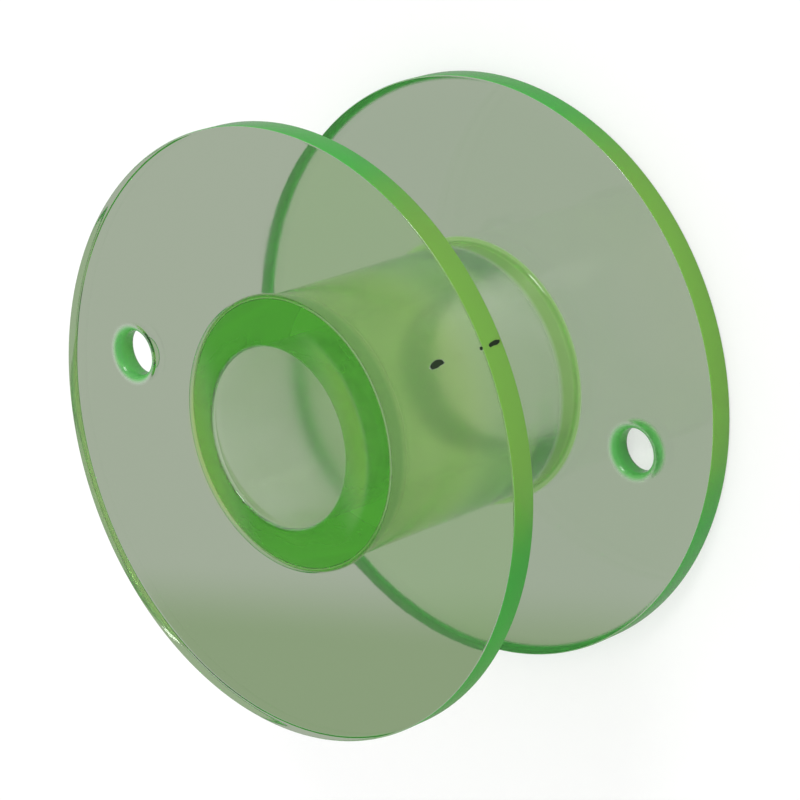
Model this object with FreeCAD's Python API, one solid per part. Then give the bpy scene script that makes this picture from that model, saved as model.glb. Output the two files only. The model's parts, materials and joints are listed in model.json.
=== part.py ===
"""A clear plastic sewing machine bobbin, moulded in one piece.

The bobbin stands on one flange, with its axis along +Z and its origin at the middle of the
lower flange's outer face. Lengths are in millimetres and angles in degrees.
"""
import FreeCAD, Part
import os

from FreeCAD import Vector

# Driving dimensions
flange_diameter = 20.3
overall_width = 10.5
flange_thickness = 0.9
hub_diameter = 8.9
bore_diameter = 6.0
thread_hole_diameter = 1.5
thread_hole_inset = 0.35       # how much nearer the hub the hole lies than midway to the rim
lower_hole_angle = 0.0
upper_hole_angle = 180.0

# Moulded edges
hub_fillet = 0.15              # inside corner where the hub meets a flange
bore_round = 0.15              # lead-in at each mouth of the bore
rim_bevel = 0.1                # both edges of each flange
hole_lip_bevel = 0.35          # both lips of each thread hole, eased for the thread

# Sizes that follow from them
LARGEST_SHARE_OF_WALL = 0.45   # an eased edge leaves some flat between it and the opposite edge
flange_radius = flange_diameter / 2
hub_radius = hub_diameter / 2
bore_radius = bore_diameter / 2
hub_wall = hub_radius - bore_radius
hole_radius = thread_hole_diameter / 2
hole_pitch_radius = (hub_radius + flange_radius) / 2 - thread_hole_inset
upper_inner_face = overall_width - flange_thickness
bore_round_made = min(bore_round, LARGEST_SHARE_OF_WALL * hub_wall)
rim_bevel_made = min(rim_bevel, LARGEST_SHARE_OF_WALL * flange_thickness)
lip_bevel_made = min(hole_lip_bevel, LARGEST_SHARE_OF_WALL * flange_thickness)


def eased_corner(before, corner, after, size, is_round):
    """The short edge that replaces a square corner of an outline: a tangent arc or a straight bevel."""
    back = (before - corner).normalize()
    ahead = (after - corner).normalize()
    first = corner + back * size
    last = corner + ahead * size
    if not is_round:
        return Part.LineSegment(first, last).toShape()
    centre = corner + back * size + ahead * size
    crown = centre + (corner - centre).normalize() * size
    return Part.Arc(first, crown, last).toShape()


def eased_outline(corners):
    """A closed wire through (radius, height, size, is_round) square corners in the XZ plane, each one eased."""
    points = [Vector(radius, 0, height) for radius, height, _, _ in corners]
    eased = []
    for i, (_, _, size, is_round) in enumerate(corners):
        after = points[(i + 1) % len(points)]
        eased.append(eased_corner(points[i - 1], points[i], after, size, is_round))
    edges = []
    for i, edge in enumerate(eased):
        following = eased[(i + 1) % len(eased)]
        edges.append(edge)
        edges.append(Part.LineSegment(edge.lastVertex().Point, following.firstVertex().Point).toShape())
    return Part.Wire(edges)


def turned(outline):
    """The solid that an outline in the XZ plane makes when it turns once about the Z axis."""
    return Part.Face(outline).revolve(Vector(0, 0, 0), Vector(0, 0, 1), 360)


def spool():
    """Both flanges and the hub between them, as one section turned about the axis."""
    return turned(eased_outline([
        (bore_radius, 0, bore_round_made, True),
        (flange_radius, 0, rim_bevel_made, False),
        (flange_radius, flange_thickness, rim_bevel_made, False),
        (hub_radius, flange_thickness, hub_fillet, True),
        (hub_radius, upper_inner_face, hub_fillet, True),
        (flange_radius, upper_inner_face, rim_bevel_made, False),
        (flange_radius, overall_width, rim_bevel_made, False),
        (bore_radius, overall_width, bore_round_made, True),
    ]))


def thread_hole_cutter():
    """What a thread hole takes out of a flange: a straight throat that opens at both lips."""
    lip_radius = hole_radius + lip_bevel_made
    return turned(Part.makePolygon([
        Vector(0, 0, 0),
        Vector(lip_radius, 0, 0),
        Vector(hole_radius, 0, lip_bevel_made),
        Vector(hole_radius, 0, flange_thickness - lip_bevel_made),
        Vector(lip_radius, 0, flange_thickness),
        Vector(0, 0, flange_thickness),
        Vector(0, 0, 0),
    ]))


def placed_hole(base_height, angle):
    """A thread hole's cutter in the flange that starts at base_height, turned to its angle about the axis."""
    cutter = thread_hole_cutter()
    cutter.translate(Vector(hole_pitch_radius, 0, base_height))
    cutter.rotate(Vector(0, 0, 0), Vector(0, 0, 1), angle)
    return cutter


def bobbin():
    """The whole moulding: the spool, with a thread hole through each flange on opposite sides."""
    lower_hole = placed_hole(0, lower_hole_angle)
    upper_hole = placed_hole(upper_inner_face, upper_hole_angle)
    return spool().cut(lower_hole).cut(upper_hole)


os.makedirs("parts", exist_ok=True)
shape = bobbin()
solid = shape.Solids[0]
solid.exportStep("parts/bobbin.step")
print("solids", len(shape.Solids), "valid", solid.isValid(), "volume", round(solid.Volume, 2))
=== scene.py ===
"""Looks of a clear green sewing machine bobbin: its moulded plastic, the lint on it, and a plain studio.

Every length is in metres, in the part's own frame: the bobbin stands on its lower flange with its
axis along +Z. The photograph shows it lying on its side, so the camera is rolled to match.
"""
import json
import math

import bpy
from mathutils import Matrix, Vector


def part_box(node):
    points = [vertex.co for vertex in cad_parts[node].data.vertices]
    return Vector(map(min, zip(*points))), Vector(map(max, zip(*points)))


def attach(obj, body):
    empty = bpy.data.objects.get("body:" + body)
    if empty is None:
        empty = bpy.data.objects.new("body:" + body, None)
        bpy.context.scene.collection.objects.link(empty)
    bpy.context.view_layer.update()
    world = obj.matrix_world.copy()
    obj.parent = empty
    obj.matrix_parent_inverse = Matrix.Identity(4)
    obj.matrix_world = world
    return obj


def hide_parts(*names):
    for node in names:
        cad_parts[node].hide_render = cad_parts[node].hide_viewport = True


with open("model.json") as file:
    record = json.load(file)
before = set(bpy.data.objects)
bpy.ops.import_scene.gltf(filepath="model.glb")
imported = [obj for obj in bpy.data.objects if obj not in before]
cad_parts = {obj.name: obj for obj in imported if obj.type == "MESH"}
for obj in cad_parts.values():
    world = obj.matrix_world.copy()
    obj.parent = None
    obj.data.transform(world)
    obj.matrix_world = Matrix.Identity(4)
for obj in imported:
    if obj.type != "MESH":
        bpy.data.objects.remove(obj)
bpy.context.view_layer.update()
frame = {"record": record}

bl_info = {
    "name": "Clear Bobbin",
    "version": (1, 0, 0),
    "blender": (4, 5, 0),
    "location": "3D View > Sidebar > Bobbin",
    "description": "Models a clear moulded sewing machine bobbin and a plain studio around it",
    "category": "Object",
}

MM = 0.001
TINY = 1e-6
WHITE = (1, 1, 1, 1)

# What the frame gives
BOBBIN_NODE = "bobbin"
BORE_MOUNT = next(mount for mount in frame["record"]["mounts"] if mount["kind"] == "bore")
BORE_RADIUS = BORE_MOUNT["dims"]["r_mm"] * MM
LOW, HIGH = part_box(BOBBIN_NODE)
OVERALL_WIDTH = HIGH.z - LOW.z
HALF_WIDTH = OVERALL_WIDTH / 2
FLANGE_RADIUS = (HIGH.x - LOW.x) / 2
MIDDLE = Vector((0, 0, HALF_WIDTH))

# How finely the moulding is modelled
BORE_SEGMENTS = 7
RIM_SEGMENTS = 5
FILLET_SEGMENTS = 8
ROUND_PROFILE = 0.5
LIP_STEPS = 7
PLUG_STEPS = 96
PLUG_EXCESS = 0.2 * MM                      # how far a plug stands out of the flange that it cuts
FLAT_SECTION = math.radians(1)              # edges of the section that turn less are joined
FLAT_SHELL = math.radians(0.5)              # faces of the shell that turn less are joined
SMOOTH_ANGLE = math.radians(40)
FACE_WEIGHT = 100

# Fades of the plastic's finishes and of the green glow painted on its edges and hub, from nothing to full,
# where a minus sign means short of the place
LOWER_HALF = (0.6 * OVERALL_WIDTH, 0.4 * OVERALL_WIDTH)
UPPER_PART = (0.3 * OVERALL_WIDTH, 0.6 * OVERALL_WIDTH)
HUB_FADE = (0.03 * MM, 0.005 * MM)          # past the hub's outer wall
OUT_OF_BORE_FADE = (-0.1 * MM, -0.05 * MM)  # past the hub's outer wall, to leave out the bore
END_EDGE_FADE = (-0.2 * MM, -0.6 * MM)      # past the hub's outer wall, on its end faces
FILLET_FADE = (0.0, -0.1 * MM)              # past the end of the hub's fillet
END_FACE_FADE = (-0.01 * MM, -0.05 * MM)    # past an end face
JUNCTION_FADE = (-1.1 * MM, -0.6 * MM)      # past a flange's inner face
FACE_FADE = (0.3 * MM, 0.1 * MM)            # past a flange's inner face, to leave out the flange
LINT_FADE = (0.01 * MM, 0.0)                # past a fleck's size
RIM_FADE = (1.0, 0.4)                       # shares of the rim's depth
HOLE_FADE = (1.0, 0.3)                      # shares of a thread hole's lip
# Painted glow: the warm side's fade sets where the rims' painted glow turns yellower
WARM_FADE = (0.75, 0.95)                    # shares of the warm side's reach
# Painted light: the reach of the light streaks painted on the end faces
END_STREAK_START = 0.5                      # share of the bore's radius
END_STREAK_FULL = 0.85                      # share of the hub's radius
SMUDGE_RANGE = (0.5, 0.7)                   # of the noise
CLOUD_RANGE = (0.35, 0.7)                   # of the noise
LEAST_CLOUD = 0.3                           # share of the hub's milkiness
RIM_FACE_DEPTH = 0.03 * MM

# Noises of the plastic's finishes and of its painted warm glow
NOISE_MEAN = 0.5
# Noise of where the rims' painted yellower glow ends
WARM_NOISE = {"Scale": 170.0, "Detail": 3.0}
SMUDGE_NOISE = {"Scale": 260.0, "Detail": 4.0, "Roughness": 0.6}
CLOUD_NOISE = {"Scale": 330.0, "Detail": 3.0}
RIPPLE_NOISE = {"Scale": 900.0, "Detail": 2.0}
FRAY_NOISE = {"Scale": 5000.0, "Detail": 2.0}
RIPPLE_STRENGTH = 0.02
RIPPLE_DEPTH = 0.05 * MM

# Flecks of lint: place, lie and half width of each
LINT = (
    ((6.08 * MM, 5.35 * MM, 10.5 * MM), (0.73, 0.68, 0.0), 0.16 * MM),
    ((7.66 * MM, 6.56 * MM, 10.46 * MM), (0.0, 0.0, 1.0), 0.095 * MM),
    ((7.69 * MM, 6.62 * MM, 9.95 * MM), (0.1, -0.1, 1.0), 0.12 * MM),
)
LINT_STRETCH = 0.7                          # how much of the distance along a fleck doesn't count
LINT_FRAY = 0.1 * MM

# Studio
SENSOR_WIDTH = 36.0
CLIP_START = 0.001
CLIP_END = 10.0
FLOOR_SIZE = 4.0
FLOOR_DROP = 0.05 * MM                      # keeps the floor clear of the bobbin's lower face
FIRST_SCATTER = 0.5                         # between no diffuse bounce and one
BOUNCES = {"max_bounces": 32, "glossy_bounces": 24, "transmission_bounces": 24}

# How nodes are laid out
NODE_ROWS = 8
NODE_WIDTH = 220
NODE_HEIGHT = 260


def number(name, description, default, **limits):
    """A property for a plain number."""
    return bpy.props.FloatProperty(name=name, description=description, default=default, **limits)


def share(name, description, default):
    """A property for a number from 0 to 1."""
    return number(name, description, default, min=0.0, max=1.0, subtype="FACTOR")


def place(name, description, default, **limits):
    """A property for a place along a line, in metres."""
    return number(name, description, default, precision=5, subtype="DISTANCE", unit="LENGTH", **limits)


def length(name, description, default):
    """A property for a length in metres."""
    return place(name, description, default, min=0.0)


def angle(name, description, degrees):
    """A property for an angle, given in degrees."""
    return number(name, description, math.radians(degrees), subtype="ANGLE")


def direction(name, description, default):
    """A property for a direction."""
    return bpy.props.FloatVectorProperty(
        name=name, description=description, default=default, size=3, subtype="DIRECTION"
    )


def colour(name, description, default):
    """A property for a linear colour."""
    return bpy.props.FloatVectorProperty(
        name=name, description=description, default=default, size=3, min=0.0, max=1.0, subtype="COLOR"
    )


class BobbinSizes(bpy.types.PropertyGroup):
    """Sizes of the moulding that the frame's box doesn't give."""

    flange_thickness: length("Flange thickness", "How thick each disc flange is", 0.9 * MM)
    hub_radius: length("Hub radius", "Outside of the tube that the thread winds on", 4.45 * MM)
    hub_fillet: length("Hub fillet", "Inside corner where the hub meets a flange", 0.25 * MM)
    rim_round: length("Rim round", "Moulded edges of each flange", 0.06 * MM)
    bore_round: length("Bore round", "Lead-in at each mouth of the bore", 0.15 * MM)
    hole_radius: length("Thread hole radius", "Throat of the hole that passes the thread's end", 0.75 * MM)
    hole_lip: length("Thread hole lip", "How far each lip of a thread hole is eased", 0.35 * MM)
    hole_pitch: length("Thread hole pitch", "Distance of a thread hole from the axis", 6.95 * MM)
    turn_steps: bpy.props.IntProperty(
        name="Steps of a turn", description="Faces round the bobbin", default=192, min=48
    )


class PlasticLook(bpy.types.PropertyGroup):
    """Colour and finish of the clear dyed plastic, the green glow painted on its edges and hub, and the lint
    stuck to it.
    """

    dye: colour("Dye", "What a long path through the plastic leaves of white light", (0.41, 0.93, 0.01))
    dye_density: number("Dye density", "Strength of the dye for each metre of path", 275.0, min=0.0)
    ior: number("Refraction", "Index of refraction of the plastic", 1.5, min=1.0)
    roughness: share("Roughness", "Haze of the moulded faces", 0.03)
    smudge: share("Smudges", "How much rougher the handled patches are", 0.05)
    hub_roughness: share("Hub roughness", "Haze of the tube's walls", 0.16)
    hub_milkiness: share("Hub milkiness", "How much the tube's walls scatter light, at most", 0.13)
    # Painted glow: the two below paint a yellow green on the upper part of the tube's outer wall, standing
    # in for light there
    hub_glow: share("Hub glow", "How much green shows on the upper part of the tube's outer wall", 0.16)
    painted_hub_glow_colour: colour("Hub green", "Colour of that green", (0.9, 1.0, 0.5))
    # Painted light: the three below paint lighter green streaks across the tube's end faces, standing in for
    # light piped along the tube
    painted_end_light: share("End haze", "How much green shows in the streaks on the tube's end faces", 0.09)
    painted_end_light_colour: colour("End green", "Colour of those streaks", (0.78, 0.95, 0.33))
    end_direction: direction("End streaks", "Way across the bobbin in which they lie", (0.866, 0.5, 0.0))
    # Painted glow: the two below paint green where the hub meets a flange, standing in for light gathered in
    # the fillet
    junction_glow: share("Junction glow", "How much green gathers where the hub meets a flange", 0.45)
    painted_junction_glow_colour: colour("Junction green", "Colour of that green", (0.36, 0.62, 0.2))
    # Painted glow: the greens below, down to the thread holes' share, paint the light that the dyed plastic
    # pipes to its rims and holes, yellower on one side and brighter seen from within
    edge_glow: colour("Edge glow", "Green that gathers in rims and thread holes", (0.078, 0.54, 0.077))
    edge_glow_warm: colour("Warm edge glow", "Yellower green of the rims on one side", (0.25, 0.53, 0.08))
    warm_direction: direction("Warm side", "Side of the bobbin with the yellower rims", (0.766, 0.643, 0.0))
    warm_unevenness: length("Warm unevenness", "How unevenly the yellower stretch ends", 3.0 * MM)
    edge_glow_within: colour("Glow within", "Green of the lower edges, seen from within", (0.3, 1.0, 0.4))
    edge_depth_within: length("Glow depth within", "How far in from the rim that green reaches", 0.27 * MM)
    edge_clearness: share("Edge clearness", "How much of an edge still shows what lies behind it", 0.3)
    edge_roughness: share("Edge roughness", "Haze of the edges", 0.14)
    hole_glow: share("Hole glow", "How much of the edges' green the thread holes have", 0.93)
    lint: colour("Lint", "Dark fluff caught on the flange", (0.012, 0.028, 0.008))


class StudioLook(bpy.types.PropertyGroup):
    """Camera, backdrop with its painted shadows, and lamp."""

    camera_azimuth: angle("Azimuth", "Camera's bearing round the bobbin", 127.509)
    camera_elevation: angle("Elevation", "Camera's height above the floor plane", 43.377)
    camera_roll: angle("Roll", "Turn of the camera about its own line of sight", -109.07)
    camera_distance: length("Distance", "Camera to the middle of the bobbin", 103.933 * MM)
    camera_lens: number("Lens", "Focal length on the camera's sensor", 140.977, unit="CAMERA")
    aim_right: place("Aim right", "How far right of the bobbin's middle the camera looks", 0.345 * MM)
    aim_up: place("Aim up", "How far above the bobbin's middle the camera looks", -0.004 * MM)
    backdrop_grey: share("Backdrop", "Grey that floor and surroundings have through the plastic", 0.425)
    # Painted shadow: the four below paint a green shadow of the bobbin, fading across the backdrop that the
    # plastic shows
    painted_shadow_colour: colour("Shade", "Green shade that the plastic shows on the backdrop", (0.285, 0.34, 0.24))
    painted_shadow_direction: direction("Shade direction", "Way in which that shade fades", (-0.409, 0.913, 0.0))
    painted_shadow_start: place("Shade start", "Where the shade begins, from the axis", -7.5 * MM)
    painted_shadow_end: place("Shade end", "Where the shade is full, from the axis", -10.5 * MM)
    # Painted shadow: the two below paint a darker grey on the backdrop under the bobbin
    painted_contact_shadow: colour("Contact shade", "Grey of the backdrop under the bobbin", (0.4, 0.411, 0.4))
    painted_contact_shadow_reach: length("Contact reach", "How far past the flange that grey fades", 1.5 * MM)
    floor_lift: share("Floor lift", "What makes the floor white to the camera where it has no shadow", 0.57)
    lamp_direction: direction("Lamp direction", "Where the soft lamp stands", (0.0, 0.78, 0.62))
    lamp_distance: length("Lamp distance", "Soft lamp to the middle of the bobbin", 400.0 * MM)
    lamp_size: length("Lamp size", "Side of the soft lamp", 100.0 * MM)
    lamp_power: number("Lamp power", "Strength of the soft lamp", 0.42, min=0.0, unit="POWER")


def deselect_everything():
    """Leaves nothing selected, so that an operator acts only on what is added next."""
    if bpy.context.mode != "OBJECT":
        bpy.ops.object.mode_set(mode="OBJECT")
    bpy.ops.object.select_all(action="DESELECT")


def activate(piece):
    """Makes one object the selected and active one."""
    deselect_everything()
    piece.select_set(True)
    bpy.context.view_layer.objects.active = piece


def pick(piece, wanted_points=None, wanted_edges=None):
    """Selects, in edit mode, the points or the edges whose place passes a test."""
    bpy.ops.mesh.select_all(action="DESELECT")
    bpy.ops.object.mode_set(mode="OBJECT")
    mesh = piece.data
    if wanted_points:
        for point in mesh.vertices:
            point.select = wanted_points(point.co)
    if wanted_edges:
        for edge in mesh.edges:
            edge.select = all(wanted_edges(mesh.vertices[i].co) for i in edge.vertices)
    bpy.ops.object.mode_set(mode="EDIT")


def near(value, *targets):
    """Whether a length is the same as one of some others."""
    return any(abs(value - target) < TINY for target in targets)


def apply_modifier(piece, kind, **settings):
    """Adds a modifier with these settings and applies it at once."""
    activate(piece)
    bpy.ops.object.modifier_add(type=kind)
    modifier = piece.modifiers[-1]
    for name, value in settings.items():
        setattr(modifier, name, value)
    bpy.ops.object.modifier_apply(modifier=modifier.name)


def section_plane(sizes):
    """A flat plane over the hub's half section, upright in the XZ plane."""
    deselect_everything()
    bpy.ops.mesh.primitive_plane_add(size=1.0, rotation=(math.pi / 2, 0, 0))
    piece = bpy.context.object
    piece.scale = (sizes.hub_radius - BORE_RADIUS, OVERALL_WIDTH, 1)
    piece.location = ((sizes.hub_radius + BORE_RADIUS) / 2, 0, HALF_WIDTH)
    bpy.ops.object.transform_apply(location=True, rotation=True, scale=True)
    return piece


def inner_faces(sizes):
    """Heights of the flanges' faces that look at each other, the lower one first."""
    return sizes.flange_thickness, OVERALL_WIDTH - sizes.flange_thickness


def draw_flanges(piece, sizes):
    """Extrudes both flanges out of the hub's section."""
    lower_inner, upper_inner = inner_faces(sizes)
    for height in (lower_inner, upper_inner):
        bpy.ops.mesh.select_all(action="SELECT")
        bpy.ops.mesh.bisect(plane_co=(0, 0, height), plane_no=(0, 0, 1))
    reach = (FLANGE_RADIUS - sizes.hub_radius, 0, 0)
    for heights in ((0, lower_inner), (upper_inner, OVERALL_WIDTH)):
        pick(piece, wanted_edges=lambda co: near(co.x, sizes.hub_radius) and near(co.z, *heights))
        bpy.ops.mesh.extrude_edges_move(TRANSFORM_OT_translate={"value": reach})
    bpy.ops.mesh.select_all(action="SELECT")
    bpy.ops.mesh.dissolve_limited(angle_limit=FLAT_SECTION)


def ease_corners(piece, sizes):
    """Rounds the section's corners: the bore's mouths, the rims, and the fillets at the hub."""
    faces = inner_faces(sizes)
    groups = (
        (lambda co: near(co.x, BORE_RADIUS), sizes.bore_round, BORE_SEGMENTS),
        (lambda co: near(co.x, FLANGE_RADIUS), sizes.rim_round, RIM_SEGMENTS),
        (lambda co: near(co.x, sizes.hub_radius) and near(co.z, *faces), sizes.hub_fillet, FILLET_SEGMENTS),
    )
    for wanted, size, segments in groups:
        pick(piece, wanted_points=wanted)
        bpy.ops.mesh.bevel(
            offset=size, offset_type="OFFSET", segments=segments, profile=ROUND_PROFILE, affect="VERTICES"
        )


def turn_section(sizes):
    """Spins the section's outline once round the axis into a closed shell."""
    bpy.ops.mesh.select_all(action="SELECT")
    bpy.ops.mesh.delete(type="ONLY_FACE")
    bpy.ops.mesh.select_all(action="SELECT")
    bpy.ops.mesh.spin(steps=sizes.turn_steps, angle=math.tau, center=(0, 0, 0), axis=(0, 0, 1))
    bpy.ops.mesh.select_all(action="SELECT")
    bpy.ops.mesh.remove_doubles(threshold=TINY)
    bpy.ops.mesh.normals_make_consistent(inside=False)
    bpy.ops.mesh.dissolve_limited(angle_limit=FLAT_SHELL)


def flare_plug(sizes, centre, up):
    """Extrudes the picked end of a plug into a round flare, and then a little straight on."""
    risen, grown = 0.0, sizes.hole_radius
    for step in range(1, LIP_STEPS + 1):
        turn = math.pi / 2 * step / LIP_STEPS
        rise = sizes.hole_lip * math.sin(turn)
        radius = sizes.hole_radius + sizes.hole_lip * (1 - math.cos(turn))
        bpy.ops.mesh.extrude_region_move(TRANSFORM_OT_translate={"value": (0, 0, up * (rise - risen))})
        spread = radius / grown
        bpy.ops.transform.resize(value=(spread, spread, 1), center_override=centre)
        risen, grown = rise, radius
    bpy.ops.mesh.extrude_region_move(TRANSFORM_OT_translate={"value": (0, 0, up * PLUG_EXCESS)})


def thread_hole_plug(sizes, base_height, side):
    """A waisted plug that takes a thread hole out of the flange that starts at base_height."""
    deselect_everything()
    throat = sizes.flange_thickness - 2 * sizes.hole_lip
    bpy.ops.mesh.primitive_cylinder_add(vertices=PLUG_STEPS, radius=sizes.hole_radius, depth=throat)
    plug = bpy.context.object
    centre = Vector((side * sizes.hole_pitch, 0, base_height + sizes.flange_thickness / 2))
    plug.location = centre
    bpy.ops.object.transform_apply(location=True)
    bpy.ops.object.mode_set(mode="EDIT")
    for up in (1, -1):
        pick(plug, wanted_points=lambda co: up * (co.z - centre.z) > TINY)
        flare_plug(sizes, centre, up)
    bpy.ops.mesh.select_all(action="SELECT")
    bpy.ops.mesh.normals_make_consistent(inside=False)
    bpy.ops.object.mode_set(mode="OBJECT")
    return plug


def cut_thread_holes(piece, sizes):
    """Cuts a thread hole through each flange, on opposite sides of the axis."""
    upper_inner = inner_faces(sizes)[1]
    for base_height, side in ((0, 1), (upper_inner, -1)):
        plug = thread_hole_plug(sizes, base_height, side)
        apply_modifier(piece, "BOOLEAN", operation="DIFFERENCE", object=plug, solver="EXACT")
        bpy.data.objects.remove(plug)


class NodeBench:
    """The emptied node tree of a material or world, with short ways to add nodes to it."""

    def __init__(self, owner):
        owner.use_nodes = True
        self.tree = owner.node_tree
        self.tree.nodes.clear()

    def add(self, kind, sockets=None, **settings):
        """Adds a node with these settings, sets or links its sockets, and gives its outputs."""
        column, row = divmod(len(self.tree.nodes), NODE_ROWS)
        node = self.tree.nodes.new("ShaderNode" + kind)
        node.location = (column * NODE_WIDTH, -row * NODE_HEIGHT)
        for name, value in settings.items():
            setattr(node, name, value)
        for socket, value in (sockets or {}).items():
            if isinstance(value, bpy.types.NodeSocket):
                self.tree.links.new(value, node.inputs[socket])
            else:
                node.inputs[socket].default_value = value
        return node.outputs

    def calculated(self, operation, *terms):
        """One sum on numbers or sockets."""
        return self.add("Math", dict(enumerate(terms)), operation=operation)["Value"]

    def left_of_one(self, amount):
        """What an amount leaves of one."""
        return self.calculated("SUBTRACT", 1.0, amount)

    def product(self, first, *others):
        """Some numbers or sockets multiplied together."""
        for other in others:
            first = self.calculated("MULTIPLY", first, other)
        return first

    def vector(self, operation, *terms):
        """One sum on vectors that gives a vector."""
        return self.add("VectorMath", dict(enumerate(terms)), operation=operation)["Vector"]

    def measured(self, operation, *terms):
        """One sum on vectors that gives a number."""
        return self.add("VectorMath", dict(enumerate(terms)), operation=operation)["Value"]

    def ramp(self, source, start, end, low=0.0, high=1.0):
        """A number that goes smoothly from low to high as its source goes from start to end."""
        sockets = {"Value": source, "From Min": start, "From Max": end, "To Min": low, "To Max": high}
        return self.add("MapRange", sockets, interpolation_type="SMOOTHSTEP")["Result"]

    def mixed(self, amount, first, second):
        """A colour between two, by an amount, from the mix node's sockets for colours."""
        return self.add("Mix", {0: amount, 6: first, 7: second}, data_type="RGBA")[2]

    def noise(self, point, settings):
        """A noise in space."""
        return self.add("TexNoise", {"Vector": point, **settings})["Fac"]


class Places:
    """Where a point of the plastic lies, and whether it is seen from within: what every mask reads."""

    def __init__(self, bench):
        self.point = bench.add("TexCoord")["Object"]
        self.x, self.y, self.height = bench.add("SeparateXYZ", {0: self.point})
        flat = bench.add("CombineXYZ", {"X": self.x, "Y": self.y})["Vector"]
        self.radius = bench.measured("LENGTH", flat)
        self.rise = bench.calculated("SUBTRACT", self.height, HALF_WIDTH)
        self.from_middle = bench.calculated("ABSOLUTE", self.rise)
        self.inside = bench.add("NewGeometry")["Backfacing"]
        self.outside = bench.left_of_one(self.inside)


def solid(tint):
    """An opaque colour for a socket."""
    return (*tint, 1)


def grey(level):
    """An opaque grey for a socket."""
    return (level, level, level, 1)


def past(start, fade, scale=1.0):
    """The two ends of a fade that is measured from a place."""
    return [start + scale * step for step in fade]


def rim_mask(bench, places, depth):
    """One at the flanges' rims, to a depth from the edge, and nothing further in."""
    return bench.ramp(places.radius, *past(FLANGE_RADIUS, RIM_FADE, -depth))


def hole_mask(bench, places, sizes):
    """One in the throat of each thread hole, and nothing past its lips."""
    # The upper hole lies at -X and the lower one at +X, so the half's sign brings both to -X
    side = bench.calculated("SIGN", places.rise)
    turned = bench.calculated("MULTIPLY", places.x, side)
    flat = bench.add("CombineXYZ", {"X": turned, "Y": places.y})["Vector"]
    away = bench.measured("DISTANCE", flat, (-sizes.hole_pitch, 0, 0))
    return bench.ramp(away, *past(sizes.hole_radius, HOLE_FADE, sizes.hole_lip))


def edge_mask(bench, places, look, sizes):
    """One at the rims and in the thread holes. From within, only the lower ones count, and deeper in."""
    holes = bench.product(hole_mask(bench, places, sizes), look.hole_glow)
    faces = bench.calculated("MAXIMUM", rim_mask(bench, places, RIM_FACE_DEPTH), holes)
    depths = bench.calculated("MAXIMUM", rim_mask(bench, places, look.edge_depth_within), holes)
    lower_half = bench.ramp(places.height, *LOWER_HALF)
    from_outside = bench.product(faces, places.outside)
    from_within = bench.product(depths, places.inside, lower_half)
    return bench.calculated("ADD", from_outside, from_within)


def painted_edge_glow(bench, places, look):
    """Painted green glow of the edges, standing in for light piped to them: yellower on one side, and purer
    from within the plastic.
    """
    sideways = bench.measured("DOT_PRODUCT", places.point, look.warm_direction)
    unevenness = bench.product(bench.noise(places.point, WARM_NOISE), look.warm_unevenness)
    reach = bench.calculated("ADD", sideways, unevenness)
    full_reach = FLANGE_RADIUS + NOISE_MEAN * look.warm_unevenness
    warmth = bench.ramp(reach, *past(0.0, WARM_FADE, full_reach))
    outer_painted_glow = bench.mixed(warmth, solid(look.edge_glow), solid(look.edge_glow_warm))
    return bench.mixed(places.inside, outer_painted_glow, solid(look.edge_glow_within))


def hub_masks(bench, places, sizes):
    """One on the tube's inner and outer walls, and one on its two end faces, short of their outer edge."""
    near_hub = bench.ramp(places.radius, *past(sizes.hub_radius, HUB_FADE))
    between_faces = bench.ramp(places.from_middle, *past(HALF_WIDTH, END_FACE_FADE))
    off_edge = bench.ramp(places.radius, *past(sizes.hub_radius, END_EDGE_FADE))
    at_ends = bench.calculated("MAXIMUM", bench.calculated("SUBTRACT", near_hub, between_faces), 0.0)
    return bench.product(near_hub, between_faces), bench.product(at_ends, off_edge)


def outer_wall_masks(bench, places, sizes):
    """One on the hub's outer wall, and one where that wall runs into a flange, both from outside only."""
    fillet_end = sizes.hub_radius + sizes.hub_fillet
    inner_face = HALF_WIDTH - sizes.flange_thickness
    out_of_bore = bench.ramp(places.radius, *past(sizes.hub_radius, OUT_OF_BORE_FADE))
    near_hub = bench.ramp(places.radius, *past(fillet_end, FILLET_FADE))
    under_face = bench.ramp(places.from_middle, *past(inner_face, FACE_FADE))
    near_flange = bench.ramp(places.from_middle, *past(inner_face, JUNCTION_FADE))
    wall = bench.product(out_of_bore, near_hub, under_face, places.outside)
    return wall, bench.product(wall, near_flange)


def hub_layers(bench, places, look, sizes, end_faces):
    """The greens painted on the hub as glow and light streaks, seen from outside: the mask, the colour and
    the cover of each.
    """
    wall, junctions = outer_wall_masks(bench, places, sizes)
    # Painted glow on the upper part of the hub's outer wall
    painted_upper_wall_glow = bench.product(wall, bench.ramp(places.height, *UPPER_PART))
    # Painted light streaks across the end faces
    across = bench.measured("DOT_PRODUCT", places.point, look.end_direction)
    streak_reach = bench.calculated("ABSOLUTE", across)
    streaks = bench.ramp(streak_reach, END_STREAK_START * BORE_RADIUS, END_STREAK_FULL * sizes.hub_radius)
    painted_end_streaks = bench.product(end_faces, places.outside, streaks)
    return (
        (painted_upper_wall_glow, look.painted_hub_glow_colour, look.hub_glow),
        (painted_end_streaks, look.painted_end_light_colour, look.painted_end_light),
        (junctions, look.painted_junction_glow_colour, look.junction_glow),
    )


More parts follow.
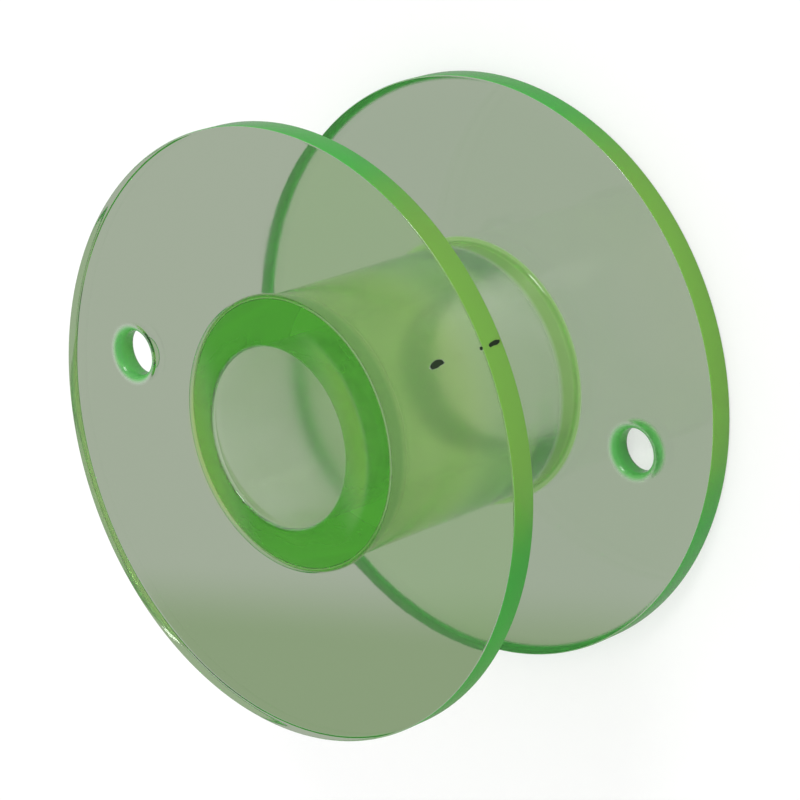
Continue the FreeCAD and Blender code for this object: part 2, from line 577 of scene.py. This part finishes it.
def lint_mask(bench, places):
    """One on the few long flecks of fluff caught on the upper flange."""
    fray = bench.product(bench.noise(places.point, FRAY_NOISE), LINT_FRAY)
    found = 0.0
    for spot, lie, size in LINT:
        apart = bench.vector("SUBTRACT", places.point, spot)
        along = bench.vector("PROJECT", apart, lie)
        shortened = bench.add("VectorMath", {0: along, "Scale": LINT_STRETCH}, operation="SCALE")["Vector"]
        squeezed = bench.measured("DISTANCE", apart, shortened)
        fleck = bench.ramp(bench.calculated("ADD", squeezed, fray), *past(size, LINT_FADE))
        found = bench.calculated("MAXIMUM", found, fleck)
    return found


def plastic_haze(bench, places, look, edges, hub_walls):
    """Roughness of the plastic: smudges on the faces, and more on the edges and the hub's walls."""
    patches = bench.noise(places.point, SMUDGE_NOISE)
    smudges = bench.ramp(patches, *SMUDGE_RANGE, look.roughness, look.roughness + look.smudge)
    edge_haze = bench.ramp(edges, 0.0, 1.0, 0.0, look.edge_roughness)
    hub_haze = bench.product(hub_walls, look.hub_roughness)
    return bench.calculated("MAXIMUM", bench.calculated("ADD", smudges, edge_haze), hub_haze)


def clear_plastic(look, sizes):
    """Clear plastic whose dye turns long paths green, under a painted green glow on the edges and the hub, a
    hazy hub and a little lint.
    """
    material = bpy.data.materials.new("clear_green_plastic")
    bench = NodeBench(material)
    places = Places(bench)
    edges = edge_mask(bench, places, look, sizes)
    hub_walls, end_faces = hub_masks(bench, places, sizes)
    lint = lint_mask(bench, places)

    # Layers of painted green glow, from the plastic outwards, each with its share of cover
    # Painted glow on the rims and thread holes: opaque green over the clear plastic
    tint = bench.mixed(edges, WHITE, painted_edge_glow(bench, places, look))
    edge_cover = bench.ramp(places.inside, 0.0, 1.0, 1.0 - look.edge_clearness, 1.0)
    clearness = bench.left_of_one(bench.product(edges, edge_cover))
    for mask, green, cover in hub_layers(bench, places, look, sizes, end_faces):
        tint = bench.mixed(mask, tint, solid(green))
        clearness = bench.product(clearness, bench.ramp(mask, 0.0, 1.0, 1.0, 1.0 - cover))

    # Milky walls, which scatter white light, and the lint on top
    clouds = bench.noise(places.point, CLOUD_NOISE)
    milk = bench.ramp(clouds, *CLOUD_RANGE, LEAST_CLOUD * look.hub_milkiness, look.hub_milkiness)
    not_milky = bench.left_of_one(bench.product(hub_walls, milk))
    tint = bench.mixed(lint, tint, solid(look.lint))
    clearness = bench.product(clearness, not_milky, bench.left_of_one(lint))
    haze = plastic_haze(bench, places, look, edges, hub_walls)
    roughness = bench.calculated("MAXIMUM", haze, lint)

    ripple = bench.noise(places.point, RIPPLE_NOISE)
    bump = bench.add("Bump", {"Strength": RIPPLE_STRENGTH, "Distance": RIPPLE_DEPTH, "Height": ripple})
    surface = bench.add("BsdfPrincipled", {
        "Base Color": tint,
        "Transmission Weight": clearness,
        "Roughness": roughness,
        "Normal": bump["Normal"],
        "IOR": look.ior,
    })
    dye = bench.add("VolumeAbsorption", {"Color": solid(look.dye), "Density": look.dye_density})
    bench.add("OutputMaterial", {"Surface": surface["BSDF"], "Volume": dye["Volume"]})
    return material


class BOBBIN_OT_moulding(bpy.types.Operator):
    """Model the bobbin: section, turned shell, thread holes and clear plastic"""

    bl_idname = "bobbin.moulding"
    bl_label = "Moulding"

    def execute(self, context):
        sizes = context.scene.bobbin_sizes
        piece = section_plane(sizes)
        piece.name = piece.data.name = "bobbin_moulding"
        bpy.ops.object.mode_set(mode="EDIT")
        draw_flanges(piece, sizes)
        ease_corners(piece, sizes)
        turn_section(sizes)
        bpy.ops.object.mode_set(mode="OBJECT")
        cut_thread_holes(piece, sizes)
        activate(piece)
        bpy.ops.object.shade_smooth_by_angle(angle=SMOOTH_ANGLE)
        apply_modifier(piece, "WEIGHTED_NORMAL", weight=FACE_WEIGHT, keep_sharp=True)
        piece.data.materials.clear()
        piece.data.materials.append(clear_plastic(context.scene.plastic_look, sizes))
        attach(piece, "root")
        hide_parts(BOBBIN_NODE)
        return {"FINISHED"}


def camera_axes(look):
    """The camera's right, up and back directions, rolled as in the photograph."""
    azimuth, elevation = look.camera_azimuth, look.camera_elevation
    back = Vector((
        math.sin(azimuth) * math.cos(elevation),
        -math.cos(azimuth) * math.cos(elevation),
        math.sin(elevation),
    ))
    level = Vector((math.cos(azimuth), math.sin(azimuth), 0))
    right = Matrix.Rotation(look.camera_roll, 3, back) @ level
    return right, back.cross(right), back


def place_camera(look):
    """The photograph's camera, with no lens shift."""
    right, up, back = camera_axes(look)
    data = bpy.data.cameras.new("photo_camera")
    data.lens = look.camera_lens
    data.sensor_width = SENSOR_WIDTH
    data.clip_start = CLIP_START
    data.clip_end = CLIP_END
    camera = bpy.data.objects.new("photo_camera", data)
    bpy.context.scene.collection.objects.link(camera)
    aim = MIDDLE + right * look.aim_right + up * look.aim_up
    turn = Matrix((right, up, back)).transposed().to_4x4()
    camera.matrix_world = Matrix.Translation(aim + back * look.camera_distance) @ turn
    bpy.context.scene.camera = camera


def place_lamp(look):
    """A square soft lamp that faces the bobbin, and that the plastic doesn't show behind it."""
    data = bpy.data.lights.new("key_lamp", "AREA")
    data.shape = "SQUARE"
    data.size = look.lamp_size
    data.energy = look.lamp_power
    lamp = bpy.data.objects.new("key_lamp", data)
    bpy.context.scene.collection.objects.link(lamp)
    towards = Vector(look.lamp_direction).normalized()
    lamp.location = MIDDLE + towards * look.lamp_distance
    lamp.rotation_euler = towards.to_track_quat("Z", "Y").to_euler()
    lamp.visible_transmission = False


def through_plastic(bench, path):
    """One for what is seen in or through the plastic, and nothing for the camera's own sight and light."""
    bent = bench.calculated("MAXIMUM", path["Is Glossy Ray"], path["Is Transmission Ray"])
    unscattered = bench.calculated("LESS_THAN", path["Diffuse Depth"], FIRST_SCATTER)
    return bench.product(bent, unscattered)


def plain_world(look):
    """Plain white surroundings that show as the backdrop's grey in and through the plastic."""
    world = bpy.data.worlds.new("plain_surroundings")
    bpy.context.scene.world = world
    bench = NodeBench(world)
    passed = through_plastic(bench, bench.add("LightPath"))
    white = bench.add("Background", {"Color": WHITE})["Background"]
    dim = bench.add("Background", {"Color": grey(look.backdrop_grey)})["Background"]
    seen = bench.add("MixShader", {0: passed, 1: white, 2: dim})["Shader"]
    bench.add("OutputWorld", {"Surface": seen})


def floor_through_plastic(bench, look):
    """The floor as the plastic shows it: the backdrop's grey, with a painted contact shadow under the bobbin
    and a painted green shadow.
    """
    point = bench.add("TexCoord")["Object"]
    from_axis = bench.measured("LENGTH", point)
    # Painted contact shadow: a darker grey under the bobbin
    reach = look.painted_contact_shadow_reach
    under = bench.ramp(from_axis, FLANGE_RADIUS + reach, FLANGE_RADIUS - reach)
    ground = bench.mixed(under, grey(look.backdrop_grey), solid(look.painted_contact_shadow))
    # Painted green shadow of the bobbin, fading across the backdrop
    along = bench.measured("DOT_PRODUCT", point, look.painted_shadow_direction)
    shaded = bench.ramp(along, look.painted_shadow_start, look.painted_shadow_end)
    return bench.mixed(shaded, ground, solid(look.painted_shadow_colour))


def floor_material(look):
    """A plain floor: white with its shadow to the camera, and through the plastic the backdrop's grey with
    painted shadows.
    """
    material = bpy.data.materials.new("plain_floor")
    bench = NodeBench(material)
    path = bench.add("LightPath")
    passed = through_plastic(bench, path)
    matt = bench.add("BsdfDiffuse", {"Color": grey(look.backdrop_grey)})["BSDF"]
    lift = bench.add("Emission", {"Color": grey(look.floor_lift)})["Emission"]
    lifted = bench.add("AddShader", {0: matt, 1: lift})["Shader"]
    direct = bench.add("MixShader", {0: path["Is Camera Ray"], 1: matt, 2: lifted})["Shader"]
    shown = bench.add("Emission", {"Color": floor_through_plastic(bench, look)})["Emission"]
    seen = bench.add("MixShader", {0: passed, 1: direct, 2: shown})["Shader"]
    bench.add("OutputMaterial", {"Surface": seen})
    return material


class BOBBIN_OT_studio(bpy.types.Operator):
    """Set the floor, the surroundings, the lamp and the photograph's camera"""

    bl_idname = "bobbin.studio"
    bl_label = "Studio"

    def execute(self, context):
        scene = context.scene
        look = scene.studio_look
        deselect_everything()
        bpy.ops.mesh.primitive_plane_add(size=FLOOR_SIZE, location=(0, 0, -FLOOR_DROP))
        floor = bpy.context.object
        floor.name = "plain_floor"
        floor.data.materials.append(floor_material(look))
        plain_world(look)
        place_lamp(look)
        place_camera(look)
        scene.view_settings.view_transform = "Standard"
        for name, count in BOUNCES.items():
            setattr(scene.cycles, name, count)
        return {"FINISHED"}


class BOBBIN_PT_panel(bpy.types.Panel):
    """Lists the bobbin's pieces and the studio"""

    bl_idname = "BOBBIN_PT_panel"
    bl_label = "Bobbin"
    bl_space_type = "VIEW_3D"
    bl_region_type = "UI"
    bl_category = "Bobbin"

    def draw(self, context):
        for group_name, group in GROUPS.items():
            box = self.layout.box()
            for name in group.__annotations__:
                box.prop(getattr(context.scene, group_name), name)
        for operator in (BOBBIN_OT_moulding, BOBBIN_OT_studio):
            self.layout.operator(operator.bl_idname)


GROUPS = {"bobbin_sizes": BobbinSizes, "plastic_look": PlasticLook, "studio_look": StudioLook}
CLASSES = (*GROUPS.values(), BOBBIN_OT_moulding, BOBBIN_OT_studio, BOBBIN_PT_panel)


def register():
    """Registers the classes and hangs the property groups on the scene."""
    for cls in CLASSES:
        bpy.utils.register_class(cls)
    for name, group in GROUPS.items():
        setattr(bpy.types.Scene, name, bpy.props.PointerProperty(type=group))


def unregister():
    """Undoes register."""
    for name in GROUPS:
        delattr(bpy.types.Scene, name)
    for cls in reversed(CLASSES):
        bpy.utils.unregister_class(cls)


def main():
    """Builds the bobbin and its studio."""
    register()
    bpy.ops.bobbin.moulding()
    bpy.ops.bobbin.studio()


if __name__ == "__main__":
    main()
